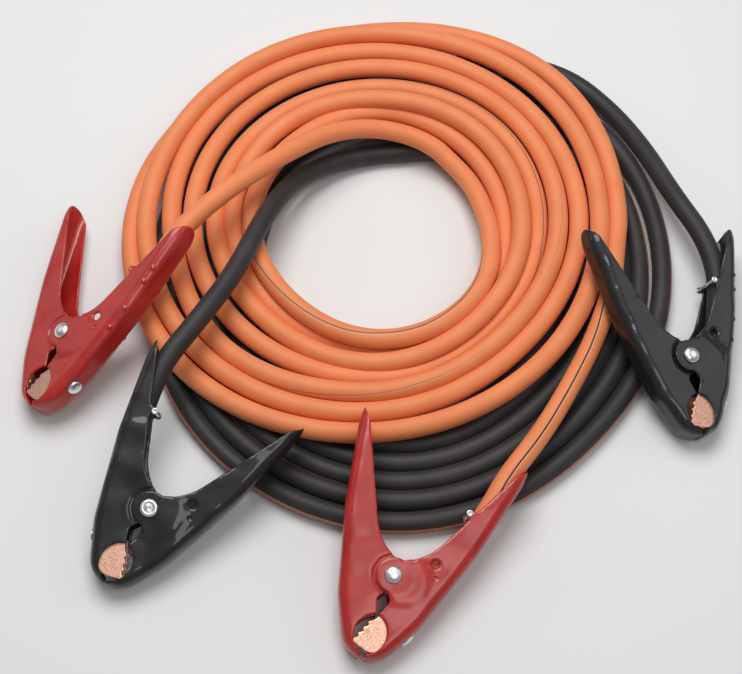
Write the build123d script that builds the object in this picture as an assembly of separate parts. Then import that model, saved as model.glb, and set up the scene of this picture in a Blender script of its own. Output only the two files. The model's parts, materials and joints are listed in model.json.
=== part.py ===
from build123d import *
from math import acos, atan2, ceil, cos, degrees, pi, radians, sin, sqrt, tan
import os

# A set of booster cables: two single-core leads, one orange and one black, each
# wound into its own flat ring, with a sprung clamp on each of the four ends.
# Millimetres, +Z up. The floor is z = 0 and the origin is under the middle of
# the four clamps.

# ---- driving dimensions --------------------------------------------------

# leads
cableDia = 13.0             # over the rubber jacket
strandDia = 8.0             # bare conductor
strandLength = 14.0         # stripped length inside the clamp
crimpLength = 10.0
layGap = 0.3                # air left between two soft things that lie on each other
layoutX, layoutY = 8.366, -64.469    # middle of the clamps' footprint in the lay-out plan

# rings of cable: centre of the outer edge, centre of the hole, centreline radii
blackOuterCentre, blackOuterRadius = (21.6, 43.7), 174.0
blackHoleCentre, blackHoleRadius = (19.5, 44.5), 96.5
orangeOuterCentre, orangeOuterRadius = (6.9, 81.4), 160.5
orangeHoleCentre, orangeHoleRadius = (0.6, 71.8), 80.7
ringEdge = 5.5              # rounding of the ring's edges, close to the jacket's own radius
tubeSides = 14              # flats around a stretch of lead

# clamp halves: steel pressings dipped in vinyl, coated inside and out
steelThick = 1.2
vinylThick = 0.3
halfWidth = 10.0            # over the vinyl, to one side of the middle plane
handleReach = 90.0          # pivot to handle tip, along the clamp
handleSpread = 53.0         # middle plane to handle tip, across the clamp
jawReach = 50.5             # pivot to nose
noseRadius = 17.5
jawGap = 0.3                # between the two closed halves
windowFromNose, windowDepth = 26.0, 9.2    # the opening in the closed jaws: its top, its depth in a half
spineEase = 3.2             # where a channel's walls turn into its spine
earRadius = 10.6            # round lobe about the pivot
joggleRadius = 14.0         # the walls step in or out inside this radius
earGap = 0.3                # between one half's outer ear and the other's inner ear
openAngle = 40.0            # the free half's swing from closed to fully open

# metal pieces of a clamp
pivotShank = 6.0
pivotHead = 11.4
pivotHeadHeight = 2.6
runningGap = 0.05           # radial, shank to ear
springWire = 2.2
springMean = 9.6            # mean coil radius
springTurns = 4             # whole turns before the legs leave
springSides = 9             # straight bits to a turn
springHole = 4.0
springHoleSink = 6.8        # its countersink, across
springHoleAt = (20.5, 15.0)
contactThick = 1.6
contactGap = 0.25           # contact to the channel that holds it
toothPitch = 4.0
toothDepth = 1.8
teethCount = 4
teethFromNose = 22.5        # first tooth to nose, along the clamp
teethLine = -1.2            # root of the contact's first tooth, across the clamp
teethLean = 1.6             # each further tooth reaches this much further across
opposingLine = 10.2         # root line of the free side's teeth, across the clamp
rivetShank = 4.0
rivetHead = 9.2
rivetHeadHeight = 2.0
rivetAlong = 0.2            # share of the spine from the nose
crossPinDia = 2.0
crossPinHead = 4.2
crossPinAt = (28.5, 50.5)

# where each clamp lies: pivot x and y, heading, pitch and roll in degrees;
# a turned clamp shows the rolled end of its pivot
clamps = {
    "left_red": dict(at=(-188.54, -13.3), heading=-23.0, pitch=10.9, roll=-25.4, turned=False),
    "front_red": dict(at=(12.39, -170.97), heading=-22.0, pitch=10.2, roll=7.4, turned=False),
    "left_black": dict(at=(-131.0, -129.8), heading=-32.0, pitch=13.8, roll=10.4, turned=True),
    "right_black": dict(at=(195.92, -28.38), heading=7.6, pitch=10.9, roll=16.1, turned=False),
}

# each lead in its handle, across and along the clamp, from the jacket's end outwards
inHandle = [(20.4, -4.0), (31.2, 29.0), (handleSpread - 13.9, handleReach - 30.0),
            (handleSpread - 11.0, handleReach - 8.0)]
inHandleBent = [(20.4, -4.0), (31.2, 29.0), (handleSpread - 15.1, handleReach - 34.0),
                (handleSpread - 18.5, handleReach - 6.0)]

# and from there to the rings, in the lay-out plan
leads = {
    "left_red": (inHandle, [
        (-102.5, 66.5, 57.5), (-75.1, 92.8, 53.0), (-46.9, 118.0, 43.5), (-17.6, 141.2, 30.0),
        (16.5, 152.8, 20.0)]),
    "left_black": (inHandle, [
        (-109.0, -19.5, 50.0), (-86.3, 21.7, 43.0), (-71.1, 68.0, 34.0), (-54.2, 105.7, 22.0),
        (-28.0, 129.9, 11.0), (6.2, 141.4, 6.6)]),
    "front_red": (inHandle, [
        (103.2, -82.2, 24.5), (121.8, -50.5, 20.5), (141.1, -14.7, 20.0), (155.4, 23.6, 20.0),
        (161.0, 61.8, 20.0)]),
    "right_black": (inHandleBent, [
        (201.3, 93.7, 24.0), (186.5, 140.0, 14.0), (167.5, 177.5, 7.5), (140.0, 207.5, 6.6),
        (100.0, 222.0, 6.6), (62.0, 222.0, 6.6), (36.0, 214.0, 6.6)]),
}

# ---- derived sizes -------------------------------------------------------

wallThick = steelThick + 2 * vinylThick
cableRadius = cableDia / 2
teethTop = teethFromNose - jawReach
blackTop = cableDia
orangeBottom = blackTop + layGap
orangeTop = orangeBottom + cableDia
earOuterFace = halfWidth + (wallThick + earGap) / 2
earOuterBack = earOuterFace - wallThick
earInnerFace = earOuterBack - earGap
earInnerBack = earInnerFace - wallThick


# ---- clamp halves, drawn as the right-hand half: X across, Y along, Z through ----

def spineEdge():
    """Outer edge of a half: round nose, straight flank and a handle that leans in a little."""
    centre = (jawGap / 2, -jawReach + noseRadius)
    nose = CenterArc(centre, noseRadius, start_angle=-90, arc_size=62.6)
    cheek = nose @ 1 + 22 * (nose % 1)
    hip = (0.79 * handleSpread, 0.33 * handleReach)
    wrist = (handleSpread - 0.5, handleReach - 11)
    side = FilletPolyline(nose @ 1, cheek, hip, wrist, (handleSpread, handleReach), radius=[40, 60, 30])
    return [nose] + list(side.edges())


def rimLines():
    """The rim of a half: handle, hollow between the handles, jaw and jaw window."""
    tipIn = (handleSpread - 4.4, handleReach - 4.0)
    bend = (20.5, 28.0)
    crook = (8.0, 13.2)
    windowTop = (jawGap / 2, windowFromNose - jawReach)
    throat = (3.6, windowTop[1] + 9.0)
    windowFoot = (jawGap / 2 + 1.2, -jawReach + 2.6)
    return [
        Line((handleSpread, handleReach), tipIn),
        Line(tipIn, bend),
        ThreePointArc(bend, (14.6, 19.0), crook),
        Line(crook, (0.0, 9.0)),
        Line((0.0, 9.0), (0.0, -9.0)),
        Line((0.0, -9.0), throat),
        Line(throat, windowTop),
        ThreePointArc(windowTop, (windowDepth, windowTop[1] - 12.0), windowFoot),
        Line(windowFoot, (jawGap / 2, -jawReach)),
    ]


def closedFace(edges, corners):
    """A face inside the given edges and straight lines through the corners."""
    return make_face(Wire(edges + [Line(a, b) for a, b in zip(corners, corners[1:])]))


def wallOutline():
    """All that lies behind the rim, seen from the side, whether metal or air."""
    tip, nose = (handleSpread, handleReach), (jawGap / 2, -jawReach)
    return closedFace(rimLines(), [nose, (nose[0], -80), (90, -80), (90, tip[1]), tip])


def bar(inset):
    """The filled-in channel: spine, side walls and what eases the corner between them."""
    tip, nose = (handleSpread, handleReach), (jawGap / 2, -jawReach)
    face = closedFace(spineEdge(), [tip, (tip[0], 130), (-60, 130), (-60, nose[1]), nose])
    if inset:
        face = offset(face, amount=-inset)
    body = extrude(face, amount=halfWidth - inset, both=True)

    def onSpine(edge):
        mid = edge.position_at(0.5)
        return abs(mid.Z) > 1 and mid.X > 0 and mid.Y < handleReach - inset

    return chamfer([edge for edge in body.edges() if onSpine(edge)], spineEase - inset * (2 - sqrt(2)))


def prism(radius, height, sides=12):
    """A straight-sided plug whose flats touch a circle of the given radius."""
    return extrude(RegularPolygon(radius, sides, major_radius=False), amount=height / 2, both=True)


def ear(outline, side, face, back):
    """An ear set in or out of its wall's plane, with the step that joins the two."""
    tall = 2 * (halfWidth + 3)
    disc = prism(joggleRadius, tall)
    plate = extrude(outline + Circle(earRadius), amount=face - back) & disc
    step = disc - prism(joggleRadius - wallThick, tall)
    low, high = min(back, halfWidth - wallThick), max(face, halfWidth)
    web = extrude(outline, amount=high - low) & step
    body = Pos(0, 0, back) * plate + Pos(0, 0, low) * web
    return body if side > 0 else mirror(body, about=Plane.XY)


def crossLugs():
    """Small lugs on the rims that carry the cross pin."""
    size = crossPinHead / 2 + 0.3
    tab = Polygon((4, -size), (4, size), (-1, size), (-size, 0), (-1, -size), align=None)
    lug = Pos(*crossPinAt) * extrude(tab, amount=wallThick)
    return [Pos(0, 0, halfWidth - wallThick) * lug, Pos(0, 0, -halfWidth) * lug]


def handleEnd():
    """What is cut off a handle to leave its end round."""
    at = Pos(handleSpread, handleReach - halfWidth, 0)
    block = Box(60, 2 * halfWidth, 2 * halfWidth + 2, align=(Align.CENTER, Align.MIN, Align.CENTER))
    return at * (block - Rot(0, 90, 0) * prism(halfWidth, 80, 20))


def half(cableSide):
    """One coated pressing: a channel with an ear set out on one side and in on the other."""
    outline = wallOutline()
    body = (bar(0.0) - bar(wallThick)) & extrude(outline, amount=halfWidth + 5, both=True)
    body = body - prism(joggleRadius - wallThick / 2, 2 * (halfWidth + 3))
    body = body + ear(outline, 1, earOuterFace, earOuterBack)
    body = body + ear(outline, -1, earInnerFace, earInnerBack)
    inner, outer = springHole / 2, springHoleSink / 2
    sink = stack([(inner, outer, halfWidth + inner - outer, halfWidth)], 12)
    holes = [Cylinder(pivotShank / 2 + runningGap, 60), handleEnd(),
             Pos(*springHoleAt, 6) * prism(inner, 12), Pos(*springHoleAt) * sink]
    if cableSide:
        body = body + crossLugs()
        holes.append(rivetPlace() * prism(rivetShank / 2, 30, 8))
        holes.append(Pos(*crossPinAt) * prism(crossPinDia / 2, 60, 8))
    return body - holes


# ---- metal pieces of a clamp ---------------------------------------------

def stack(stages, sides):
    """Straight-sided stages on one axis, each (radius, top radius, from height, to height)."""
    body = None
    for low, high, start, end in stages:
        wide, narrow = max(low, high), min(low, high)
        lean = degrees(atan2((wide - narrow) * cos(pi / sides), end - start))
        stage = extrude(RegularPolygon(wide, sides), amount=end - start, taper=lean)
        stage = Pos(0, 0, start) * stage if low >= high else Pos(0, 0, end) * Rot(180, 0, 0) * stage
        body = stage if body is None else body + stage
    return body


def pivotRivet():
    """Tubular rivet: domed head on one side, rolled-over end on the other."""
    seat, rim, top = earOuterFace + 0.1, pivotHead / 2, earOuterFace + 0.1 + pivotHeadHeight
    shank = Cylinder(pivotShank / 2, 2 * seat)
    dome = stack([(rim, rim, seat, seat + 0.6), (rim, 0.8 * rim, seat + 0.6, seat + 1.8),
                  (0.8 * rim, 0.36 * rim, seat + 1.8, top)], 20)
    roll = stack([(0.66 * rim, 0.96 * rim, -seat - 2.0, -seat - 0.9),
                  (0.96 * rim, 0.96 * rim, -seat - 0.9, -seat)], 20)
    return shank + dome + roll - stack([(0.44 * rim, 0.3 * rim, -seat - 2.0, -seat + 2.0)], 10)


def torsionSpring():
    """Wire coil round the pivot, each end reaching to a half's hole and turning into it."""
    hx, hy = springHoleAt
    reach = sqrt(hx * hx + hy * hy)
    leave = atan2(hy, hx) - acos(springMean / reach)
    travel = 2 * pi * springTurns + 2 * leave + pi
    climb = springWire + 0.15
    rise = climb * travel / (2 * pi)
    count = ceil(springSides * travel / (2 * pi))
    path = []
    for i in range(count + 1):
        angle = leave - travel * (1 - i / count)
        path.append((springMean * cos(angle), springMean * sin(angle), rise * (i / count - 0.5)))
    legEnd, hookEnd = rise / 2 + 1.1, earOuterFace - 1.5
    path += [(hx, hy, legEnd), (hx, hy, hookEnd)]
    path = [(-hx, hy, -hookEnd), (-hx, hy, -legEnd)] + path
    line = Polyline(*path)
    start = Plane(origin=line @ 0, z_dir=line % 0)
    section = start * RegularPolygon(springWire / 2, 6)
    return sweep(section, path=line, transition=Transition.RIGHT)


def contactChannel(outline):
    """A copper liner of the jaw, trimmed to an outline seen from the side."""
    gap = wallThick + contactGap
    liner = bar(gap) - bar(gap + contactThick)
    return liner & extrude(make_face(Polyline(*outline, close=True)), amount=halfWidth, both=True)


def toothEdge(root, top, count, lean):
    """A toothed edge going towards the nose, its tips pointing to lower X."""
    points = []
    for i in range(count):
        across, along = root - i * lean, top - i * toothPitch
        points += [(across, along), (across - lean / 2 - toothDepth, along - toothPitch / 2)]
    return points + [(root - count * lean, top - count * toothPitch)]


def conductorPlace():
    """Start of the bare conductor, its Z axis running on towards the nose."""
    (x0, y0), (x1, y1) = inHandle[:2]
    return Plane(origin=(x0, y0, 0), x_dir=(0, 0, 1), z_dir=(x0 - x1, y0 - y1, 0))


def bareConductor():
    return conductorPlace() * extrude(RegularPolygon(strandDia / 2, 14), amount=strandLength)


def copperContact():
    """Liner of the cable side's jaw with a crimped barrel for the conductor."""
    far = 40.0
    teeth = toothEdge(teethLine, teethTop, teethCount, teethLean)
    liner = contactChannel([(far, teethTop + 9.0), (2.6, teethTop + 5.5)] + teeth + [
        (0.6, 4.3 - jawReach), (far, 3.3 - jawReach)])
    barrel = extrude(RegularPolygon(strandDia / 2 + 1.5, 12), amount=crimpLength)
    barrel = Pos(0, 0, strandLength - crimpLength) * barrel
    neck = Pos(0, 0, strandLength - 4) * Box(strandDia, 14, 7, align=(Align.CENTER, Align.MAX, Align.MIN))
    place = conductorPlace()
    body = place * (barrel + neck)
    body = body & bar(wallThick + contactGap)
    body = liner + body - place * extrude(RegularPolygon(strandDia / 2, 14), amount=strandLength + 1)
    return body - rivetPlace() * prism(rivetShank / 2, 30, 8)


def opposingTeeth():
    """Liner of the free side's jaw, its teeth standing between the contact's."""
    teeth = toothEdge(opposingLine, teethTop - toothPitch / 2, teethCount - 1, 0.0)
    return contactChannel([(40.0, teeth[0][1])] + teeth + [(40.0, teeth[-1][1])])


def rivetPlace():
    """On the cable side's spine, Z pointing out of it, origin on its outer face."""
    line = Wire(spineEdge())
    along = line.tangent_at(rivetAlong)
    return Plane(origin=line.position_at(rivetAlong), x_dir=(0, 0, 1), z_dir=(along.Y, -along.X, 0))


def contactRivet():
    """Through the half and the contact, with a domed head outside."""
    inside = -(wallThick + contactGap + contactThick)
    shank, rim, top = 0.97 * rivetShank / 2, rivetHead / 2, rivetHeadHeight
    return rivetPlace() * stack([
        (0.5 * rim + 0.4, 0.5 * rim, inside - 0.8, inside), (shank, shank, inside, 0),
        (rim, 0.8 * rim, 0, 0.6 * top), (0.8 * rim, 0.4 * rim, 0.6 * top, top)], 12)


def crossPin():
    seat, shank, rim = halfWidth, 0.97 * crossPinDia / 2, crossPinHead / 2
    return Pos(*crossPinAt) * stack([
        (0.6 * rim, rim, -seat - 0.9, -seat), (shank, shank, -seat, seat),
        (rim, 0.6 * rim, seat, seat + 0.9)], 10)


# ---- cable ---------------------------------------------------------------

def tube(name, points):
    """A stretch of lead off the rings: straight runs joined by arcs as large as they allow."""
    points = [Vector(*point) for point in points]
    radii = []
    for before, here, after in zip(points, points[1:], points[2:]):
        turn = radians((here - before).get_angle(after - here))
        run = min((here - before).length, (after - here).length)
        radii.append(0.45 * run / tan(turn / 2))
    line = FilletPolyline(*points, radius=radii)
    section = Plane(origin=line @ 0, z_dir=line % 0) * RegularPolygon(cableRadius, tubeSides)
    solid = sweep(section, path=line)
    share = solid.volume / (section.area * line.length)
    print(name, "length", round(line.length, 1), "radii", [round(r) for r in radii], "fill", round(share, 4))
    return solid


def ring(outerCentre, outerRadius, holeCentre, holeRadius, bottom):
    """The outer shape of one wound ring of cable."""
    low = (Align.CENTER, Align.CENTER, Align.MIN)
    body = Pos(*outerCentre, bottom) * Cylinder(outerRadius + cableRadius, cableDia, align=low)
    body = body - Pos(*holeCentre, bottom) * Cylinder(holeRadius - cableRadius, cableDia, align=low)
    return chamfer(body.edges().filter_by(GeomType.CIRCLE), ringEdge)


# ---- placing -------------------------------------------------------------

def clampPieces():
    across = Rot(0, 180, 0)
    return {
        "cable_side_half": half(True), "free_side_half": across * half(False),
        "pivot_rivet": pivotRivet(), "torsion_spring": torsionSpring(),
        "copper_contact": copperContact(), "opposing_teeth": across * opposingTeeth(),
        "contact_rivet": contactRivet(), "cross_pin": crossPin(), "bare_conductor": bareConductor()}


def layClamp(pieces, at, heading, pitch, roll, turned):
    """Where a clamp goes so that its lowest point just touches the floor."""
    attitude = Rot(0, 0, heading) * Rot(pitch, 0, 0) * Rot(0, roll + (180 if turned else 0), 0)
    low = min((attitude * piece).bounding_box().min.Z for piece in pieces.values())
    return Pos(at[0], at[1], -low) * attitude


nodes = {}
pieces = clampPieces()
middle = Pos(-layoutX, -layoutY, 0)
for name, lie in clamps.items():
    place = layClamp(pieces, **lie)
    for piece, shape in pieces.items():
        nodes[name + "_" + piece] = middle * place * shape
    held, free = leads[name]
    held = [(place * Pos(x, y, 0)).position for x, y in held]
    nodes[name + "_lead_end"] = middle * tube(name, held + free)
    axis = (place * Pos(0, 0, -1)).position - place.position
    hinge = (middle * place).position
    print(name, "hinge at", [round(v, 3) for v in hinge], "axis", [round(v, 6) for v in axis],
          "handle", [[round(v, 1) for v in p] for p in held])

nodes["black_cable_ring"] = middle * ring(
    blackOuterCentre, blackOuterRadius, blackHoleCentre, blackHoleRadius, 0.0)
nodes["orange_cable_ring"] = middle * ring(
    orangeOuterCentre, orangeOuterRadius, orangeHoleCentre, orangeHoleRadius, orangeBottom)

os.makedirs("parts", exist_ok=True)
for name, shape in nodes.items():
    export_step(shape, "parts/" + name + ".step")
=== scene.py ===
import json
import math
import bmesh
import bpy
import numpy as np
from mathutils import Matrix, Vector


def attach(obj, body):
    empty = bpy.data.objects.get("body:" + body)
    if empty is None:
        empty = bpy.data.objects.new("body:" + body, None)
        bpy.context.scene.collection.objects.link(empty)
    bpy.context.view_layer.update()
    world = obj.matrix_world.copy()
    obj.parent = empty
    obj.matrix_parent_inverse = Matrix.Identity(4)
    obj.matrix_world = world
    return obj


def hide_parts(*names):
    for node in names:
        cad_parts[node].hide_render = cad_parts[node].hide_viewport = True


# booster cables: an orange and a black lead, each wound in a ring, with a sprung clamp on every end
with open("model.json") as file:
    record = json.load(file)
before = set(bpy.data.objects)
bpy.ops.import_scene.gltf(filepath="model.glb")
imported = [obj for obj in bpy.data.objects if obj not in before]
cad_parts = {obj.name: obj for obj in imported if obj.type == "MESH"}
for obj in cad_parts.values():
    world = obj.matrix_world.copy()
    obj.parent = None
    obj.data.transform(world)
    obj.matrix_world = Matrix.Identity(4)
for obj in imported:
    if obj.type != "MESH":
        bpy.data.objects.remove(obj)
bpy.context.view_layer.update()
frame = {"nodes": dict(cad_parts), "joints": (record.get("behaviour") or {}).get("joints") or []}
nodes = frame["nodes"]
joints = {joint["name"]: joint for joint in frame["joints"]}
coll = bpy.context.scene.collection
print("frame in:", len(nodes), "pieces,", len(joints), "pivots")

layout = {"middle": (8.366, -64.469)}  # the plan's point that sits over the origin, millimetres


def plan(x, y, z):
    # a point of the lay-out plan in metres, in the frame
    return Vector(((x - layout["middle"][0]) / 1000, (y - layout["middle"][1]) / 1000, z / 1000))


# how each clamp lies, degrees; a turned one shows the rolled end of its pivot
clamps = {
    "left_red": {"heading": -23.0, "pitch": 10.9, "roll": -25.4, "colour": "red"},
    "front_red": {"heading": -22.0, "pitch": 10.2, "roll": 7.4, "colour": "red"},
    "left_black": {"heading": -32.0, "pitch": 13.8, "roll": 10.4 + 180, "colour": "black"},
    "right_black": {"heading": 7.6, "pitch": 10.9, "roll": 16.1, "colour": "black"},
}
for name, clamp in clamps.items():
    turn = Matrix.Rotation(math.radians(clamp["heading"]), 4, "Z")
    turn = turn @ Matrix.Rotation(math.radians(clamp["pitch"]), 4, "X")
    turn = turn @ Matrix.Rotation(math.radians(clamp["roll"]), 4, "Y")
    clamp["lie"] = Matrix.Translation(joints[name + "_pivot"]["pos_m"]) @ turn


def onClamp(name, across, along, up=0.0):
    # a point given in a clamp's own directions, millimetres from its pivot
    return clamps[name]["lie"] @ Vector((across / 1000, along / 1000, up / 1000))


def newGroup(name, inputs, outputs):
    tree = bpy.data.node_groups.new(name, "ShaderNodeTree")
    for label, kind, value in inputs:
        socket = tree.interface.new_socket(label, in_out="INPUT", socket_type="NodeSocket" + kind)
        socket.default_value = value
    for label, kind in outputs:
        tree.interface.new_socket(label, in_out="OUTPUT", socket_type="NodeSocket" + kind)
    return tree, tree.nodes.new("NodeGroupInput"), tree.nodes.new("NodeGroupOutput")


def addNode(tree, kind, **values):
    node = tree.nodes.new("ShaderNode" + kind)
    for key, value in values.items():
        setattr(node, key, value)
    return node


def maths(tree, operation, a, b=None, c=None, clamp=False):
    node = addNode(tree, "Math", operation=operation, use_clamp=clamp)
    for i, value in enumerate((a, b, c)):
        if value is None:
            continue
        if isinstance(value, (int, float)):
            node.inputs[i].default_value = value
        else:
            tree.links.new(value, node.inputs[i])
    return node.outputs[0]


def noiseOf(tree, vector, scale, detail=3.0, rough=0.55):
    node = addNode(tree, "TexNoise")
    node.inputs["Detail"].default_value = detail
    node.inputs["Roughness"].default_value = rough
    tree.links.new(vector, node.inputs["Vector"])
    if isinstance(scale, (int, float)):
        node.inputs["Scale"].default_value = scale
    else:
        tree.links.new(scale, node.inputs["Scale"])
    return node.outputs["Fac"]


def liftedFrom(tree, value, start, gain):
    # nothing up to the start, then rising at the gain to a full 1
    return maths(tree, "MULTIPLY", maths(tree, "SUBTRACT", value, start, clamp=True), gain, clamp=True)


def mixColour(tree, factor, a, b):
    node = addNode(tree, "Mix", data_type="RGBA")
    tree.links.new(factor, node.inputs["Factor"])
    for socket, value in ((node.inputs["A"], a), (node.inputs["B"], b)):
        if isinstance(value, tuple):
            socket.default_value = value
        else:
            tree.links.new(value, socket)
    return node.outputs["Result"]


dustShape = {"patchFrom": 0.42, "patchGain": 3.0, "speckFrom": 0.66, "speckGain": 8.0, "patchShare": 0.55}
# each way: how far the lines are turned, radians, and how much they are squeezed
scratchShape = {"ways": ((0.6, 14.0), (2.1, 11.0)), "lineFrom": 0.6, "lineGain": 6.0,
                "patchScale": 25.0, "patchFrom": 0.45, "patchGain": 4.0}


def makeGroups():
    made = {}
    # pale dust that gathers in soft patches and as a few specks
    tree, get, put = newGroup("settledDust",
                              [("Vector", "Vector", (0, 0, 0)), ("Patch Scale", "Float", 40.0),
                               ("Speck Scale", "Float", 900.0), ("Amount", "Float", 0.3)],
                              [("Mask", "Float")])
    patch = noiseOf(tree, get.outputs["Vector"], get.outputs["Patch Scale"], 4.0, 0.6)
    patch = liftedFrom(tree, patch, dustShape["patchFrom"], dustShape["patchGain"])
    speck = noiseOf(tree, get.outputs["Vector"], get.outputs["Speck Scale"], 2.0, 0.5)
    speck = liftedFrom(tree, speck, dustShape["speckFrom"], dustShape["speckGain"])
    both = maths(tree, "MULTIPLY_ADD", patch, dustShape["patchShare"], speck, clamp=True)
    tree.links.new(maths(tree, "MULTIPLY", both, get.outputs["Amount"], clamp=True), put.inputs["Mask"])
    made["dust"] = tree

    # fine scratches that run two ways, thinned out by patches
    tree, get, put = newGroup("handlingScratches",
                              [("Vector", "Vector", (0, 0, 0)), ("Scale", "Float", 60.0),
                               ("Amount", "Float", 0.5)], [("Mask", "Float"), ("Height", "Float")])
    total = None
    for turn, squeeze in scratchShape["ways"]:
        stretch = addNode(tree, "Mapping")
        stretch.inputs["Rotation"].default_value = (turn, turn * 0.7, turn)
        stretch.inputs["Scale"].default_value = (1.0, squeeze, 1.0)
        tree.links.new(get.outputs["Vector"], stretch.inputs["Vector"])
        line = noiseOf(tree, stretch.outputs["Vector"], get.outputs["Scale"], 5.0, 0.75)
        line = liftedFrom(tree, line, scratchShape["lineFrom"], scratchShape["lineGain"])
        total = line if total is None else maths(tree, "MAXIMUM", total, line)
    where = noiseOf(tree, get.outputs["Vector"], scratchShape["patchScale"], 2.0)
    where = liftedFrom(tree, where, scratchShape["patchFrom"], scratchShape["patchGain"])
    mask = maths(tree, "MULTIPLY", maths(tree, "MULTIPLY", total, where), get.outputs["Amount"], clamp=True)
    tree.links.new(mask, put.inputs["Mask"])
    tree.links.new(maths(tree, "MULTIPLY", mask, -1.0), put.inputs["Height"])
    made["scratches"] = tree
    return made


groups = makeGroups()
print("shader groups ready:", len(groups))


def useGroup(tree, key, vector, **values):
    node = addNode(tree, "Group", node_tree=groups[key])
    tree.links.new(vector, node.inputs["Vector"])
    for label, value in values.items():
        node.inputs[label.replace("_", " ")].default_value = value
    return node


def newMaterial(name, roughness, metallic=0.0, **sockets):
    material = bpy.data.materials.new(name)
    material.use_nodes = True
    tree = material.node_tree
    shader = tree.nodes["Principled BSDF"]
    shader.inputs["Roughness"].default_value = roughness
    shader.inputs["Metallic"].default_value = metallic
    for label, value in sockets.items():
        shader.inputs[label.replace("_", " ")].default_value = value
    place = addNode(tree, "TexCoord").outputs["Object"]
    return material, tree, shader, place


def bumpFrom(tree, shader, height, distance, strength, sockets=("Normal",)):
    bump = addNode(tree, "Bump")
    bump.inputs["Strength"].default_value = strength
    bump.inputs["Distance"].default_value = distance
    tree.links.new(height, bump.inputs["Height"])
    for label in sockets:
        tree.links.new(bump.outputs["Normal"], shader.inputs[label])


# wax is the weight of the clear skin over the colour, skin its roughness; waves are the coat's slow runs
vinylLook = {
    "red": {"base": (0.50, 0.028, 0.021, 1), "deep": (0.41, 0.015, 0.014, 1), "worn": (0.60, 0.10, 0.08, 1),
            "rough": 0.30, "skin": 0.10, "specular": 0.5, "wax": 0.3, "ripple": 0.22, "waves": 62.0},
    "black": {"base": (0.012, 0.0115, 0.0125, 1), "deep": (0.009, 0.009, 0.010, 1),
              "worn": (0.05, 0.05, 0.052, 1),
              "rough": 0.42, "skin": 0.05, "specular": 0.3, "wax": 0.6, "ripple": 0.8, "waves": 55.0},
}
vinylWear = {"cloud": (38.0, 0.35, 3.0), "scratch": {"Scale": 70.0, "Amount": 0.14}, "scratchRough": 0.25,
             "dust": {"Patch_Scale": 60.0, "Speck_Scale": 1400.0, "Amount": 0.05},
             "dustColour": (0.42, 0.38, 0.36, 1), "dustRough": 0.6, "rippleDepth": 0.004}


def vinylCoat(colour):
    # glossy dip coat: slow ripples where it ran, a faint haze and a few handling scratches
    look = vinylLook[colour]
    scale, start, gain = vinylWear["cloud"]
    material, tree, shader, place = newMaterial(
        colour + "VinylCoat", look["rough"], IOR=1.5, Specular_IOR_Level=look["specular"],
        Coat_Weight=look["wax"], Coat_Roughness=look["skin"])
    cloud = liftedFrom(tree, noiseOf(tree, place, scale, 2.0), start, gain)
    base = mixColour(tree, cloud, look["deep"], look["base"])
    scratch = useGroup(tree, "scratches", place, **vinylWear["scratch"])
    dust = useGroup(tree, "dust", place, **vinylWear["dust"])
    handled = mixColour(tree, scratch.outputs["Mask"], base, look["worn"])
    dusty = mixColour(tree, dust.outputs["Mask"], handled, vinylWear["dustColour"])
    tree.links.new(dusty, shader.inputs["Base Color"])
    rough = maths(tree, "MULTIPLY_ADD", scratch.outputs["Mask"], vinylWear["scratchRough"], look["rough"])
    rough = maths(tree, "MULTIPLY_ADD", dust.outputs["Mask"], vinylWear["dustRough"], rough, clamp=True)
    tree.links.new(rough, shader.inputs["Roughness"])
    slow = noiseOf(tree, place, look["waves"], 0.6, 0.35)
    bumpFrom(tree, shader, slow, vinylWear["rippleDepth"], look["ripple"], ("Normal", "Coat Normal"))
    return material


# half, rim and core are half widths of the stripe, its edge bands and the line in its middle, millimetres
jacketLook = {
    "orange": {"base": (0.87, 0.262, 0.092, 1), "shade": (0.82, 0.235, 0.080, 1),
               "stripe": (0.020, 0.017, 0.017, 1), "edge": (0.84, 0.38, 0.22, 1),
               "half": 0.62, "rim": 1.0, "lean": -0.35, "core": 0.0},
    "black": {"base": (0.021, 0.0185, 0.0185, 1), "shade": (0.017, 0.015, 0.015, 1),
              "stripe": (0.62, 0.19, 0.075, 1), "edge": (0.045, 0.042, 0.042, 1),
              "half": 1.75, "rim": 1.85, "lean": 0.0, "core": 0.5},
}
jacketWear = {"wander": (30.0, 0.012), "cloud": (45.0, 0.35, 3.0), "rough": 0.6,
              "scratch": {"Scale": 45.0, "Amount": 0.10}, "scratchDepth": 0.6,
              "dust": {"Patch_Scale": 35.0, "Speck_Scale": 1100.0, "Amount": 0.05},
              "dustColour": (0.55, 0.48, 0.44, 1), "dustRough": 0.5, "cloudRough": -0.05,
              "handled": (1.25, 0.01),  # a scratch's gain and lift over the base colour
              "grain": (120.0, 60.0, 1.0), "skin": (1500.0, 0.4), "bumpDepth": 0.00010}


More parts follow.
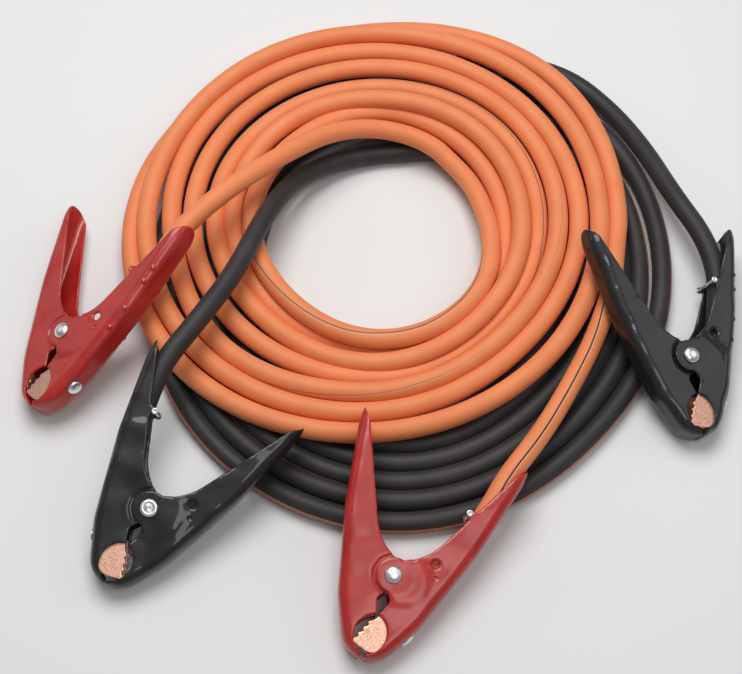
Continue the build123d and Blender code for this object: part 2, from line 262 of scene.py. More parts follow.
def jacketRubber(colour):
    # soft matt jacket; u of the UV map goes round it from the stripe's middle, v along it in metres
    look, wear = jacketLook[colour], jacketWear
    material, tree, shader, place = newMaterial(
        colour + "Jacket", 0.5, IOR=1.5, Sheen_Weight=0.05, Sheen_Roughness=0.5)
    uv = addNode(tree, "UVMap", uv_map="jacket").outputs["UV"]
    split = addNode(tree, "SeparateXYZ")
    tree.links.new(uv, split.inputs["Vector"])
    scale, reach = wear["wander"]
    wander = maths(tree, "SUBTRACT", noiseOf(tree, place, scale, 2.0), 0.5)
    around = maths(tree, "MULTIPLY_ADD", wander, reach, split.outputs["X"])
    off = maths(tree, "SUBTRACT", maths(tree, "FRACT", maths(tree, "ADD", around, 0.5)), 0.5)
    away = maths(tree, "MULTIPLY", off, math.pi * winding["diameter"])  # millimetres from the stripe's middle

    def inside(limit, middle=0.0, soft=0.16):
        # 1 within the limit of a middle, with a soft edge
        distance = maths(tree, "ABSOLUTE", maths(tree, "SUBTRACT", away, middle))
        return maths(tree, "DIVIDE", maths(tree, "SUBTRACT", limit, distance), soft, clamp=True)

    scale, start, gain = wear["cloud"]
    cloud = liftedFrom(tree, noiseOf(tree, place, scale, 4.0), start, gain)
    base = mixColour(tree, cloud, look["shade"], look["base"])
    ink = addNode(tree, "Attribute", attribute_name="ink").outputs["Fac"]  # how clear the stripe is
    rimMask = maths(tree, "MULTIPLY", inside(look["rim"], look["lean"]), ink)
    stripeMask = maths(tree, "MULTIPLY", inside(look["half"]), ink)
    rim = mixColour(tree, rimMask, base, look["edge"])
    stripe = mixColour(tree, stripeMask, rim, look["stripe"])
    if look["core"]:
        stripe = mixColour(tree, inside(look["core"]), stripe, look["edge"])
    scratch = useGroup(tree, "scratches", place, **wear["scratch"])
    dust = useGroup(tree, "dust", place, **wear["dust"])
    gain, lift = wear["handled"]
    lighter = tuple(min(1, v * gain + lift) for v in look["base"][:3]) + (1,)
    handled = mixColour(tree, scratch.outputs["Mask"], stripe, lighter)
    dusty = mixColour(tree, dust.outputs["Mask"], handled, wear["dustColour"])
    tree.links.new(dusty, shader.inputs["Base Color"])
    rough = maths(tree, "MULTIPLY_ADD", dust.outputs["Mask"], wear["dustRough"], wear["rough"])
    rough = maths(tree, "MULTIPLY_ADD", cloud, wear["cloudRough"], rough, clamp=True)
    tree.links.new(rough, shader.inputs["Roughness"])
    stretch = addNode(tree, "Mapping")
    stretch.inputs["Scale"].default_value = wear["grain"]
    tree.links.new(uv, stretch.inputs["Vector"])
    grain = noiseOf(tree, stretch.outputs["Vector"], 1.0, 3.0, 0.6)
    scale, share = wear["skin"]
    height = maths(tree, "MULTIPLY_ADD", noiseOf(tree, place, scale, 1.0, 0.5), share, grain)
    height = maths(tree, "MULTIPLY_ADD", scratch.outputs["Height"], wear["scratchDepth"], height)
    bumpFrom(tree, shader, height, wear["bumpDepth"], 0.5)
    return material


# bloom is the scale and the strength of the dull patches, grit the height of the grain in metres
metalLook = {
    "brightZinc": {"base": (0.92, 0.92, 0.93, 1), "dull": (0.66, 0.66, 0.68, 1), "rough": 0.28,
                   "bloom": (150.0, 0.5), "grit": 0.00004},
    "springWire": {"base": (0.62, 0.6, 0.57, 1), "dull": (0.3, 0.28, 0.26, 1), "rough": 0.28,
                   "bloom": (260.0, 0.7), "grit": 0.00004},
    "copperStrip": {"base": (0.94, 0.56, 0.43, 1), "dull": (0.40, 0.19, 0.13, 1), "rough": 0.44,
                    "bloom": (1000.0, 0.8), "grit": 0.00014},
    "copperStrands": {"base": (0.80, 0.46, 0.30, 1), "dull": (0.40, 0.19, 0.12, 1), "rough": 0.35,
                      "bloom": (500.0, 0.8), "grit": 0.00004},
}
metalWear = {"cloudFrom": 0.45, "cloudGain": 4.0, "cloudRough": 0.2,
             "scratch": {"Scale": 220.0, "Amount": 0.8}, "scratchColour": 0.4, "scratchRough": 0.2,
             "scratchDepth": 0.5, "grain": 3000.0}


def bareMetal(name):
    # plated or drawn metal with grain, a dull bloom and scratches
    look, wear = metalLook[name], metalWear
    material, tree, shader, place = newMaterial(name, look["rough"], 1.0)
    scale, amount = look["bloom"]
    cloud = liftedFrom(tree, noiseOf(tree, place, scale, 4.0, 0.65), wear["cloudFrom"], wear["cloudGain"])
    scratch = useGroup(tree, "scratches", place, **wear["scratch"])
    marks = maths(tree, "MULTIPLY", scratch.outputs["Mask"], wear["scratchColour"])
    colour = mixColour(tree, maths(tree, "MULTIPLY", cloud, amount), look["base"], look["dull"])
    tree.links.new(mixColour(tree, marks, colour, look["dull"]), shader.inputs["Base Color"])
    rough = maths(tree, "MULTIPLY_ADD", cloud, wear["cloudRough"], look["rough"])
    rough = maths(tree, "MULTIPLY_ADD", scratch.outputs["Mask"], wear["scratchRough"], rough, clamp=True)
    tree.links.new(rough, shader.inputs["Roughness"])
    grain = noiseOf(tree, place, wear["grain"], 2.0)
    height = maths(tree, "MULTIPLY_ADD", scratch.outputs["Height"], wear["scratchDepth"], grain)
    bumpFrom(tree, shader, height, look["grit"], 0.5)
    return material


# how the leads are wound
winding = {"diameter": 13.0,  # of the jacket, millimetres
           "perTurn": 24,  # control points to a turn
           "lineSteps": 6,  # places along the smooth line to a control point
           "sides": 22,  # of the jacket's tube
           "bridging": 10, "easing": 3,  # passes that even out the upper lead's heights
           "floorTurns": 0.012}  # the lower lead lies on the floor where it is under this, metres

finishes = {colour + "Vinyl": vinylCoat(colour) for colour in vinylLook}
finishes.update({colour + "Jacket": jacketRubber(colour) for colour in jacketLook})
finishes.update({name: bareMetal(name) for name in metalLook})
print("finishes ready:", len(finishes))

for name, obj in nodes.items():
    if name.endswith("bare_conductor"):
        obj.data.materials.clear()
        obj.data.materials.append(finishes["copperStrands"])

# centreline radii about the middle in eight directions, clockwise from straight up the plan, inside out;
# pushed is how far a turn stands out of that even curve, by the turn that it has got to
blackRing = {"middle": (21.6, 43.7), "pitch": 12.5, "level": 6.6, "from": 0.0, "to": 5.96,
             "outer": [[147, 164, 155, 151, 162, 158, 149, 157],
                       [159, 180, 170, 164, 176, 171, 162, 170], [172, 185]],
             "pushed": [(0, 0), (7, 0)]}
blackRing["rows"] = [[radius - blackRing["pitch"] * k for radius in blackRing["outer"][0]]
                     for k in (4, 3, 2, 1)] + blackRing["outer"]
orangeRing = {"middle": (6.9, 81.4), "from": 0.12, "to": 7.25,
              "rows": [[69, 66, 69, 87, 97, 90, 85, 81],
                       [83, 80, 82, 91, 99, 98, 98, 96],
                       [88, 90, 92, 99, 112, 110, 111, 108],
                       [106, 106, 104, 107, 120, 124, 125, 126],
                       [124, 121, 117, 119, 133, 141, 141, 143],
                       [139, 134, 131, 131, 145, 155, 155, 155],
                       [152, 151, 144, 149, 159, 169, 165, 158],
                       [160, 165, 156, 150]],
              "swaps": [0.95, 1.95, 2.6, 3.6, 4.6, 5.6, 6.6],  # where over becomes under, in turns
              "pushed": [(2.55, 0), (2.62, -1.4), (2.75, -1.2), (2.8, 0), (4.48, 0), (4.53, -1.4),
                         (4.57, -0.2), (4.62, 1.4), (4.65, 0), (4.71, -3.6), (4.75, -1.8), (4.8, -0.5),
                         (4.85, 0), (5.76, 0), (5.83, -2.4), (5.88, -2.0), (5.95, 0), (6.77, 0),
                         (6.84, -3.0), (6.88, -2.4), (6.96, 0), (7.0, 0), (7.05, 1.7), (7.09, 2.4),
                         (7.13, 2.6), (7.19, 0)]}

# across and along the clamp inside its handle, then points of the plan on the way to the ring, millimetres
inHandle = [(20.4, -4.0), (31.2, 29.0), (39.1, 60.0), (42.0, 82.0)]
inHandleBent = [(20.4, -4.0), (31.2, 29.0), (37.9, 56.0), (34.5, 84.0)]
leadEnds = {
    "left_red": (inHandle, [(-102.5, 66.5, 57.5), (-76.0, 93.5, 53.0), (-48.5, 120.0, 43.5),
                            (-30.5, 135.3, 36.5), (-11.5, 145.2, 29.5), (8.5, 148.9, 23.8),
                            (27.5, 145.9, 20.3), (43.5, 137.3, 19.0)]),
    "left_black": (inHandle, [(-109.0, -19.5, 50.0), (-86.1, 20.5, 45.0), (-70.7, 64.7, 39.0),
                              (-54.2, 105.7, 23.0), (-28.0, 129.9, 11.0), (0.2, 139.8, 6.6)]),
    "front_red": (inHandle, [(103.2, -82.2, 24.5), (121.8, -50.5, 20.5), (141.1, -14.7, 20.0),
                             (155.4, 23.6, 20.0), (161.0, 61.8, 20.0)]),
    "right_black": (inHandleBent, [(201.3, 93.7, 24.0), (186.5, 140.0, 14.0), (167.5, 177.5, 7.5),
                                   (140.0, 207.5, 6.6), (100.0, 221.0, 6.6), (66.0, 219.0, 6.6)]),
}


def blendOver(table, at):
    # the value of a small (place, value) table at a place
    for (a, va), (b, vb) in zip(table, table[1:]):
        if at <= b:
            return va + (vb - va) * max(0.0, at - a) / (b - a)
    return table[-1][1]


def between(values, place):
    # a smooth value between the numbers of a list
    i = min(max(int(place), 0), len(values) - 2)
    f = place - i
    a, b, c, d = (values[min(max(k, 0), len(values) - 1)] for k in range(i - 1, i + 3))
    return b + 0.5 * f * (c - a + f * (2 * a - 5 * b + 4 * c - d + f * (3 * b - 3 * c + d - a)))


def woundPlaces(ring):
    # (turn, x, y) of the control points of the wound turns, clockwise from the inside out
    steps = winding["perTurn"]
    radii = [radius for row in ring["rows"] for radius in row]
    grow = 1 / math.cos(math.pi / steps)  # the spline runs inside its control points
    places = []
    for i in range(math.ceil(ring["from"] * steps), math.floor(ring["to"] * steps) + 1):
        turn = i / steps
        angle = math.pi / 2 - 2 * math.pi * turn
        radius = (between(radii, 8 * turn) + blendOver(ring["pushed"], turn)) * grow
        places.append((turn, ring["middle"][0] + radius * math.cos(angle),
                       ring["middle"][1] + radius * math.sin(angle)))
    return places


def stacked(apart):
    # how much higher a strand lies on one that is this far off sideways
    return math.sqrt(max(0.0, winding["diameter"] ** 2 - apart ** 2))


def heights(ring, places, under):
    # a turn lies on what is under it, and where turns crowd one lies on the flanks of the next
    steps, swaps = winding["perTurn"], ring["swaps"]
    rest = []
    for turn, x, y in places:
        near = [(z, math.hypot(x - px, y - py)) for px, py, z in under]
        rest.append(max(z + stacked(off) for z, off in near))
    over = [sum(turn > swap for swap in swaps) % 2 == 0 for turn, x, y in places]
    least = list(rest)
    for i, (turn, x, y) in enumerate(places):
        for j in (i - steps, i + steps):
            if over[i] and 0 <= j < len(places) and not over[j]:
                off = math.hypot(x - places[j][1], y - places[j][2])
                if off < winding["diameter"]:
                    least[i] = max(least[i], rest[j] + stacked(off))
    level = list(least)
    last = len(level) - 1
    for step in range(winding["bridging"] + winding["easing"]):
        middle = [(level[max(i - 1, 0)] + level[min(i + 1, last)]) / 2 for i in range(last + 1)]
        if step < winding["bridging"]:
            level = [max(low, mean) for low, mean in zip(least, middle)]
        else:
            level = [(here + mean) / 2 for here, mean in zip(level, middle)]
    return level


def endPoints(name):
    held, free = leadEnds[name]
    return [onClamp(name, x, y) for x, y in held] + [plan(*point) for point in free]


def smoothLine(name, points):
    # the smooth line through a spline's control points
    data = bpy.data.curves.new(name, "CURVE")
    data.dimensions = "3D"
    data.resolution_u = winding["lineSteps"]
    spline = data.splines.new("NURBS")
    spline.points.add(len(points) - 1)
    for point, place in zip(spline.points, points):
        point.co = (*place, 1.0)
    spline.order_u = 3
    spline.use_endpoint_u = True
    holder = bpy.data.objects.new(name, data)
    line = [v.co.copy() for v in bpy.data.meshes.new_from_object(holder).vertices]
    bpy.data.objects.remove(holder)
    return line


def alongLine(line):
    along = [0.0]
    for a, b in zip(line, line[1:]):
        along.append(along[-1] + (b - a).length)
    return along


def layTube(name, line, lead, firstTurn):
    # a round tube about a line; the stripe's degrees are from the top, towards the right-hand side
    along = alongLine(line)
    radius, sides = winding["diameter"] / 2000, winding["sides"]
    turns = [firstTurn + (i / winding["lineSteps"] + 0.5) / winding["perTurn"] for i in range(len(line))]
    verts, faces, uvs = [], [], []
    for i, place in enumerate(line):
        ahead = (line[min(i + 1, len(line) - 1)] - line[max(i - 1, 0)]).normalized()
        right = ahead.cross(Vector((0, 0, 1))).normalized()
        up = right.cross(ahead)
        for k in range(sides):
            angle = 2 * math.pi * k / sides
            verts.append(place + radius * (up * math.cos(angle) + right * math.sin(angle)))
    for i in range(len(line) - 1):
        near, far = [blendOver(lead["stripe"], turns[j]) / 360 for j in (i, i + 1)]
        for k in range(sides):
            n = (k + 1) % sides
            faces.append((i * sides + k, i * sides + n, (i + 1) * sides + n, (i + 1) * sides + k))
            a, b = k / sides, (k + 1) / sides
            uvs += [(a - near, along[i]), (b - near, along[i])]
            uvs += [(b - far, along[i + 1]), (a - far, along[i + 1])]
    last = (len(line) - 1) * sides
    faces.append(tuple(range(sides)))
    faces.append(tuple(last + k for k in reversed(range(sides))))
    uvs += [(0.5, 0.0)] * sides + [(0.5, along[-1])] * sides
    mesh = bpy.data.meshes.new(name)
    mesh.from_pydata(verts, [], faces)
    layer = mesh.uv_layers.new(name="jacket")
    for loop, uv in zip(layer.data, uvs):
        loop.uv = uv
    strength = mesh.attributes.new("ink", "FLOAT", "POINT")
    strength.data.foreach_set("value", [blendOver(lead["ink"], turn) for turn in turns for k in range(sides)])
    mesh.polygons.foreach_set("use_smooth", [len(p.vertices) == 4 for p in mesh.polygons])
    mesh.update()
    obj = bpy.data.objects.new(name, mesh)
    coll.objects.link(obj)
    return obj, along[-1]


# the stripe's place round the jacket, degrees, and how clear it is, both by the turn that it has got to
leads = {
    "black": {"from": "left_black", "to": "right_black", "ring": blackRing,
              "stripe": [(-0.5, 180), (0.5, 200), (4.0, 285), (4.15, 302), (4.25, 300), (4.33, 262),
                         (4.4, 225), (4.6, 215), (4.9, 275), (5.1, 292), (5.208, 296), (5.25, 291),
                         (5.333, 280), (5.417, 273), (5.5, 272), (5.583, 277), (5.667, 285), (5.71, 288),
                         (6.0, 240), (6.4, 200)],
              "ink": [(0, 1), (7, 1)]},
    "orange": {"from": "left_red", "to": "front_red", "ring": orangeRing,
              "stripe": [(-0.5, 180), (-0.1, 150), (0.3, 75), (0.375, 36), (0.417, 24), (0.458, 12),
                         (0.5, 11), (0.542, -4), (0.583, -10), (0.625, -17), (0.667, -30), (0.75, -62),
                         (0.82, -95), (1.0, -120), (2.28, -110), (2.36, -80), (2.5, -85), (2.625, -88),
                         (2.75, -74), (2.875, -58), (3.0, -33), (3.08, -27), (3.25, -27), (3.3, -32),
                         (3.36, -60), (3.45, -110), (3.95, -110), (4.1, -80), (4.2, -50), (4.27, -20),
                         (4.33, -5), (4.4, -5), (4.45, -12), (4.5, -22), (4.55, -48), (4.6, -75),
                         (4.66, -115), (4.9, -150), (6.9, -180), (7.2, -250), (7.29, -255), (7.33, -285),
                         (7.36, -318), (7.375, -338), (7.4, -357), (7.417, -365), (7.458, -370), (7.5, -375),
                         (7.7, -375)],
              "ink": [(0.3, 0.5), (0.4, 0.85), (0.6, 0.7), (0.8, 0.45), (2.3, 0.5), (3.3, 0.6), (4.2, 0.2),
                      (4.42, 0.12), (4.5, 0.3), (4.6, 0.45), (6.9, 1), (7.7, 1)]},
}
onFloor = []
for colour, lead in leads.items():
    places = woundPlaces(lead["ring"])
    if colour == "black":
        turns = [plan(x, y, lead["ring"]["level"]) for turn, x, y in places]
    else:
        turns = [plan(x, y, z) for (turn, x, y), z in zip(places, heights(lead["ring"], places, onFloor))]
    start, end = endPoints(lead["from"]), endPoints(lead["to"])[::-1]
    route = start + turns + end
    line = smoothLine(colour + "LeadLine", route)
    firstTurn = places[0][0] - len(start) / winding["perTurn"]
    obj, length = layTube(colour + "Lead", line, lead, firstTurn)
    if colour == "black":
        middle = plan(0, 0, 0)
        onFloor = [((p.x - middle.x) * 1000, (p.y - middle.y) * 1000, p.z * 1000)
                   for p in line if p.z < winding["floorTurns"]]
    obj.data.materials.append(finishes[colour + "Jacket"])
    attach(obj, "cable_set")
    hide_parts(colour + "_cable_ring", lead["from"] + "_lead_end", lead["to"] + "_lead_end")
    print(colour, "lead:", round(length, 3), "m,", len(line), "places along it")

# the halves' dip coat: millimetres in a clamp's own directions, across, along and up from the pivot
coat = {
    "voxel": 0.6,
    "spine": [(25.8, -21.5), (41.9, 29.7), (52.5, 79.0)],  # its edge: (across, along) at cheek, hip and wrist
    "wall": 10.0,  # how far up the walls' outer faces are
    "nose": (0.0, -33.0),  # middle of the nose's round
    "springHole": (20.5, 15.0),
    "allPasses": 8,
    # corners are worked only off the pivot's and the hole's zones and off the nose's end
    "corner": {"passes": 60, "spread": 8, "gain": 2.6, "outward": 0.25, "slant": (0.25, 0.97), "back": -0.3,
               "pivotZone": 15.5, "holeZone": 5.2, "fade": 1.5, "noseEnd": (3.5, -45.0)},
    "bumps": {"along": (10.0, 24.0, 44.0, 54.0), "width": 2.2, "height": 0.95, "inset": 1.3},
    "dimple": {"at": (23.6, 7.4), "width": 2.0, "height": -0.6},
    "shoulder": {"x": 6.0, "radius": 15.5, "fade": 8.0, "ear": 11.0, "from": 13.7, "passes": 14,
                 "wallDepth": 0.8, "facing": 0.3, "most": 2.0, "holeZone": (3.2, 2.5),
                 "ring": (14.0, 2.2, 0.8)},
    "tip": {"along": 80.0, "fade": 6.0, "weight": 0.7, "passes": 24},
}


def softened(places, pairs, weights, passes):
    # each vertex drifts to the middle of its neighbours, as far as its weight says
    count = len(places)
    number = np.bincount(pairs.ravel(), minlength=count)
    for _ in range(passes):
        total = np.stack([np.bincount(pairs[:, 0], places[pairs[:, 1], k], count)
                          + np.bincount(pairs[:, 1], places[pairs[:, 0], k], count)
                          for k in range(places.shape[1])], axis=1)
        places = places + weights[:, None] * (total / number[:, None] - places)
    return places


def cornerWeights(local, normals, pairs, side):
    # 1 where a wall turns into the spine, falling off beside it, 0 about the holes
    corner = coat["corner"]
    out = np.tile(np.array([side, corner["back"]]), (len(local), 1))
    low = local[:, 1] < coat["nose"][1]
    out[low] = local[low, :2] - np.array(coat["nose"])
    out /= np.linalg.norm(out, axis=1)[:, None] + 1e-9
    outward = (out * normals[:, :2]).sum(axis=1)
    least, most = corner["slant"]
    slant = (outward > corner["outward"]) & (abs(normals[:, 2]) > least) & (abs(normals[:, 2]) < most)
    weights = softened(slant.astype(float)[:, None], pairs, np.ones(len(local)), corner["spread"])[:, 0]
    weights = np.clip(weights * corner["gain"], 0, 1)
    x, y = corner["noseEnd"]
    weights[(abs(local[:, 0]) < x) & (local[:, 1] < y)] = 0
    hx, hy = coat["springHole"]
    for (x, y), zone in (((0.0, 0.0), corner["pivotZone"]), ((side * hx, hy), corner["holeZone"])):
        off = np.hypot(local[:, 0] - x, local[:, 1] - y)
        weights *= np.clip((off - zone) / corner["fade"], 0, 1)
    return weights


def fadeOut(distance, start, width):
    # 1 inside the start, easing to 0 a width further out
    t = np.clip((distance - start) / width, 0, 1)
    return 1 - t * t * (3 - 2 * t)


def shouldered(local, normals, pairs, side):
    # the wall swells up to its outer ear in a soft round shoulder
    swell = coat["shoulder"]
    up = side  # the outer ear is above on the cable side and below on the other
    face = (local[:, 2] * up > coat["wall"] - swell["wallDepth"]) & (normals[:, 2] * up > swell["facing"])
    reach = np.hypot(local[:, 0] - side * swell["x"], local[:, 1])
    off = np.hypot(local[:, 0], local[:, 1])
    lift = face * (off > swell["from"]) * fadeOut(reach, swell["radius"] - swell["fade"] / 2, swell["fade"])
    hx, hy = coat["springHole"]
    lift *= 1 - fadeOut(np.hypot(local[:, 0] - side * hx, local[:, 1] - hy), *swell["holeZone"])
    moved = local.copy()
    moved[:, 2] += up * lift * np.clip(swell["ear"] - local[:, 2] * up, 0, swell["most"])
    middle, width, edge = swell["ring"]
    ring = face * np.clip((width - abs(off - middle)) / edge, 0, 1) * (reach < swell["radius"] + 1)
    return softened(moved, pairs, ring.astype(float), swell["passes"])


def spineAcross(along):
    # how far across the clamp its spine stands at a place along it
    return blendOver([(y, x) for x, y in coat["spine"]], along)


def raised(local, normals, centre, width, height):
    # a small round bump, or a dimple if the height is negative
    off = np.linalg.norm(local - np.array(centre), axis=1) / width
    swell = height * np.clip(1 - off ** 2, 0, 1) ** 2
    return local + normals * swell[:, None]


def skinOf(name, node, voxel):
    # an even skin over a copy of a piece: its mesh, places and normals in the clamp's directions, and edges
    skin = bpy.data.objects.new(name + node + "_skin", nodes[name + node].data.copy())
    coll.objects.link(skin)
    remesh = skin.modifiers.new("skin", "REMESH")
    remesh.mode, remesh.voxel_size = "VOXEL", voxel / 1000
    mesh = bpy.data.meshes.new_from_object(skin.evaluated_get(bpy.context.evaluated_depsgraph_get()))
    bpy.data.objects.remove(skin)
    places, normals = np.empty(len(mesh.vertices) * 3), np.empty(len(mesh.vertices) * 3)
    mesh.vertices.foreach_get("co", places)
    mesh.vertices.foreach_get("normal", normals)
    pairs = np.empty(len(mesh.edges) * 2, dtype=int)
    mesh.edges.foreach_get("vertices", pairs)
    lie = np.array(clamps[name]["lie"])
    local = (places.reshape(-1, 3) - lie[:3, 3]) @ lie[:3, :3] * 1000
    return mesh, local, normals.reshape(-1, 3) @ lie[:3, :3], pairs.reshape(-1, 2)


def skinPiece(name, node, mesh, local, body, finish):
    # the worked skin as a piece of its own, in place of the piece it covers
    lie = np.array(clamps[name]["lie"])
    mesh.vertices.foreach_set("co", (local @ lie[:3, :3].T / 1000 + lie[:3, 3]).ravel())
    mesh.materials.clear()
    mesh.materials.append(finish)
    mesh.polygons.foreach_set("use_smooth", [True] * len(mesh.polygons))
    mesh.update()
    obj = bpy.data.objects.new(name + node + "_skinned", mesh)
    coll.objects.link(obj)
    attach(obj, body)
    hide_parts(name + node)
    return obj


def dipCoated(name, side, half, body, finish):
    # the pressing with the rounding, pimples and soft edges of a dip coat; side is 1 for the cable side
    mesh, local, normals, pairs = skinOf(name, half, coat["voxel"])
    count = len(local)
    local = softened(local, pairs, np.ones(count), 1)
    weights = cornerWeights(local, normals, pairs, side)
    local = softened(local, pairs, weights, coat["corner"]["passes"])
    local = softened(local, pairs, np.full(count, 0.5), coat["allPasses"])
    local = shouldered(local, normals, pairs, side)
    tip, bumps, dimple = coat["tip"], coat["bumps"], coat["dimple"]
    beyond = tip["weight"] * (1 - fadeOut(local[:, 1], tip["along"], tip["fade"]))
    local = softened(local, pairs, beyond, tip["passes"])
    if side > 0:
        for along in bumps["along"]:
            for up in (-1, 1):
                centre = (spineAcross(along) - bumps["inset"], along, up * (coat["wall"] - bumps["inset"]))
                local = raised(local, normals, centre, bumps["width"], bumps["height"])
    centre = (side * dimple["at"][0], dimple["at"][1], side * coat["wall"])
    local = raised(local, normals, centre, dimple["width"], dimple["height"])
    return skinPiece(name, half, mesh, local, body, finish)


teeth = {"voxel": 0.3, "weight": 0.8, "passes": 5}  # millimetres; how far and how often they are eased


def worn(name, node, body):
    # a copper piece with the sharpness taken off its teeth
    mesh, local, normals, pairs = skinOf(name, node, teeth["voxel"])
    local = softened(local, pairs, np.full(len(local), teeth["weight"]), teeth["passes"])
    skinPiece(name, node, mesh, local, body, finishes["copperStrip"])


for name, clamp in clamps.items():
    finish = finishes[clamp["colour"] + "Vinyl"]
    slot = clamp["colour"] + "_vinyl"
    dipCoated(name, 1, "_cable_side_half", "cable_set", finish)
    obj = dipCoated(name, -1, "_free_side_half", name + "_free_jaw", finish)
    worn(name, "_copper_contact", "cable_set")
    worn(name, "_opposing_teeth", name + "_free_jaw")
    print(name, "coated,", len(obj.data.polygons), "faces a half")


# turned pieces as (radius, height) from the lower end up, and where they go; millimetres
fasteners = {
    "around": 40,  # faces round a turned piece
    "pivot": [(0, -9.2), (2.3, -9.2), (2.4, -11.9), (2.8, -12.7), (3.5, -13.1), (4.4, -13.1), (5.1, -12.7),
              (5.45, -11.9), (5.45, -11.2), (3.0, -11.1), (3.0, 11.1), (5.1, 11.15), (5.25, 11.5),
              (5.05, 12.1), (4.5, 12.75), (3.6, 13.3), (2.4, 13.65), (1.2, 13.8), (0, 13.85)],
    "contact": [(0, -4.3), (2.2, -4.3), (2.6, -3.7), (1.94, -3.6), (1.94, 0.0), (4.5, 0.0), (4.6, 0.3),
                (4.3, 0.85), (3.5, 1.4), (2.3, 1.8), (1.2, 1.97), (0, 2.0)],
    "contactAt": (21.2, -30.4), "contactOut": (0.888, -0.46),  # on the spine of the cable side
    "pin": [(0, -10.35), (0.7, -10.4), (1.1, -10.85), (1.6, -10.8), (2.05, -10.4), (2.1, -10.0),
            (0.97, -10.0), (0.97, 10.0), (2.1, 10.0), (2.05, 10.4), (1.6, 10.8), (1.1, 10.85), (0.7, 10.4),
            (0, 10.35)],
    "stub": [(0.97, 6.6), (0.9, 6.8), (0, 6.8)],  # the end of a pin that stops short, in place of its head
    "pinAt": (28.5, 50.5), "shortOn": ("left_red",),
}
fasteners["shortPin"] = fasteners["pin"][:7] + fasteners["stub"]


def spun(name, shape, place):
    # a turned piece, its axis the Z of its place
    around = fasteners["around"]
    verts, faces = [], []
    for radius, height in shape:
        for k in range(around):
            angle = 2 * math.pi * k / around
            verts.append(place @ Vector((radius * math.cos(angle), radius * math.sin(angle), height)))
    for i in range(len(shape) - 1):
        for k in range(around):
            n = (k + 1) % around
            faces.append((i * around + k, i * around + n, (i + 1) * around + n, (i + 1) * around + k))
    mesh = bpy.data.meshes.new(name)
    mesh.from_pydata(verts, [], faces)
    obj = bpy.data.objects.new(name, mesh)
    coll.objects.link(obj)
    work = bmesh.new()
    work.from_mesh(mesh)
    bmesh.ops.remove_doubles(work, verts=work.verts, dist=1e-6)
    bmesh.ops.recalc_face_normals(work, faces=work.faces)
    work.to_mesh(mesh)
    work.free()
    mesh.polygons.foreach_set("use_smooth", [True] * len(mesh.polygons))
    return obj


# wire and coil, millimetres; reach is how far of the way to the halves' holes the legs go, under the walls,
# and toe the step of a leg's turned end
wire = {"radius": 1.1, "mean": 9.6, "turns": 4, "gap": 0.15, "perTurn": 36,
        "hole": coat["springHole"], "reach": 0.78, "toe": (0.8, 0.5, 0.6)}


def springCoil(name, lie):
    # a wound wire about the pivot, its two legs out towards the halves' holes
    hx, hy = wire["hole"]
    leave = math.atan2(hy, hx) - math.acos(wire["mean"] / math.hypot(hx, hy))
    travel = 2 * math.pi * wire["turns"] + 2 * leave + math.pi
    rise = (2 * wire["radius"] + wire["gap"]) * travel / (2 * math.pi)
    count = math.ceil(wire["perTurn"] * travel / (2 * math.pi))
    legEnd = rise / 2 + wire["radius"]
    ex, ey = hx * wire["reach"], hy * wire["reach"]
    inX, inY, turned = wire["toe"]
    points = [(-ex, ey, -legEnd - turned), (-ex + inX, ey - inY, -legEnd)]
    for i in range(count + 1):
        angle = leave - travel * (1 - i / count)
        x, y = wire["mean"] * math.cos(angle), wire["mean"] * math.sin(angle)
        points.append((x, y, rise * (i / count - 0.5)))
    points += [(ex - inX, ey - inY, legEnd), (ex, ey, legEnd + turned)]
    data = bpy.data.curves.new(name, "CURVE")
    data.dimensions = "3D"
    data.bevel_depth = wire["radius"] / 1000
    data.bevel_resolution = 4
    data.use_fill_caps = True
    spline = data.splines.new("POLY")
    spline.points.add(len(points) - 1)
    for point, place in zip(spline.points, points):
        point.co = (*(lie @ (Vector(place) / 1000)), 1.0)
    spline.use_smooth = True
    obj = bpy.data.objects.new(name, data)
    coll.objects.link(obj)
    return obj


for name, clamp in clamps.items():
    lie = clamp["lie"] @ Matrix.Scale(0.001, 4)
    x, y = fasteners["contactAt"]
    out = Vector((*fasteners["contactOut"], 0))
    facing = Matrix.Translation((x, y, 0)) @ out.to_track_quat("Z", "Y").to_matrix().to_4x4()
    across = Matrix.Translation((*fasteners["pinAt"], 0))
    pin = fasteners["shortPin"] if name in fasteners["shortOn"] else fasteners["pin"]
    made = [
        (spun(name + "_pivot_rivet_turned", fasteners["pivot"], lie),
         "_pivot_rivet", "brightZinc", "plated_steel"),
        (spun(name + "_contact_rivet_turned", fasteners["contact"], lie @ facing),
         "_contact_rivet", "brightZinc", "plated_steel"),
        (spun(name + "_cross_pin_turned", pin, lie @ across),
         "_cross_pin", "brightZinc", "plated_steel"),
        (springCoil(name + "_wound_spring", clamp["lie"]),
         "_torsion_spring", "springWire", "spring_steel"),
    ]
    for obj, node, finish, slot in made:
        obj.data.materials.append(finishes[finish])
        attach(obj, "cable_set")
        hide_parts(name + node)
print("rivets, pins and springs made")

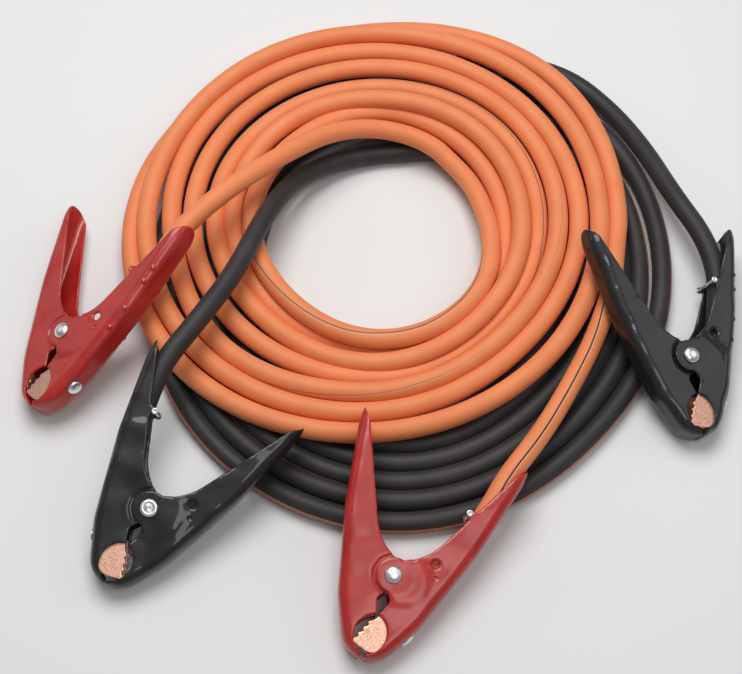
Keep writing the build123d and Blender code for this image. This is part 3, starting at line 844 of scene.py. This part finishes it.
# metres and watts; a lamp is (place, width, power)
studio = {
    "floor": 4.0, "floorColour": (0.83, 0.83, 0.82, 1), "floorDrop": 0.0004, "floorRough": 0.75,
    "mottle": 6.0, "mottleTone": 0.97,
    "world": 0.22, "worldColour": (0.96, 0.97, 1.0, 1),
    "lamps": {"key": ((-0.10, 0.45, 1.20), 0.9, 11.3), "above": ((0.30, -0.42, 1.24), 0.55, 2.4),
              "right": ((1.12, 0.30, 0.92), 0.8, 1.6), "left": ((-1.05, 0.55, 0.60), 0.6, 0.6)},
    "lens": 74.77, "sensor": 36.0, "farthest": 20.0,
    "camera": (0.0, -484.8, 874.6),  # millimetres in the lay-out plan
}

size = studio["floor"] / 2
mesh = bpy.data.meshes.new("floor")
mesh.from_pydata([(-size, -size, 0), (size, -size, 0), (size, size, 0), (-size, size, 0)], [], [(0, 1, 2, 3)])
floor = bpy.data.objects.new("floor", mesh)
floor.location.z = -studio["floorDrop"]
coll.objects.link(floor)
material, tree, shader, place = newMaterial("paleFloor", studio["floorRough"])
mottled = tuple(v * studio["mottleTone"] for v in studio["floorColour"][:3]) + (1,)
tree.links.new(mixColour(tree, noiseOf(tree, place, studio["mottle"], 3.0), studio["floorColour"], mottled),
               shader.inputs["Base Color"])
mesh.materials.append(material)

for name, (place, width, power) in studio["lamps"].items():
    lamp = bpy.data.lights.new(name, "AREA")
    lamp.shape = "DISK"
    lamp.size = width
    lamp.energy = power
    obj = bpy.data.objects.new(name, lamp)
    obj.location = place
    obj.rotation_euler = (-Vector(place)).to_track_quat("-Z", "Y").to_euler()
    coll.objects.link(obj)

world = bpy.data.worlds.new("studioWorld")
bpy.context.scene.world = world
world.use_nodes = True
world.node_tree.nodes["Background"].inputs["Color"].default_value = studio["worldColour"]
world.node_tree.nodes["Background"].inputs["Strength"].default_value = studio["world"]

camera = bpy.data.cameras.new("camera")
camera.lens = studio["lens"]
camera.sensor_width = studio["sensor"]
camera.clip_end = studio["farthest"]
eye = bpy.data.objects.new("camera", camera)
eye.location = plan(*studio["camera"])
eye.rotation_euler = (plan(0, 0, 0) - eye.location).to_track_quat("-Z", "Y").to_euler()
coll.objects.link(eye)
bpy.context.scene.camera = eye
bpy.context.scene.view_settings.view_transform = "Standard"
print("studio set")
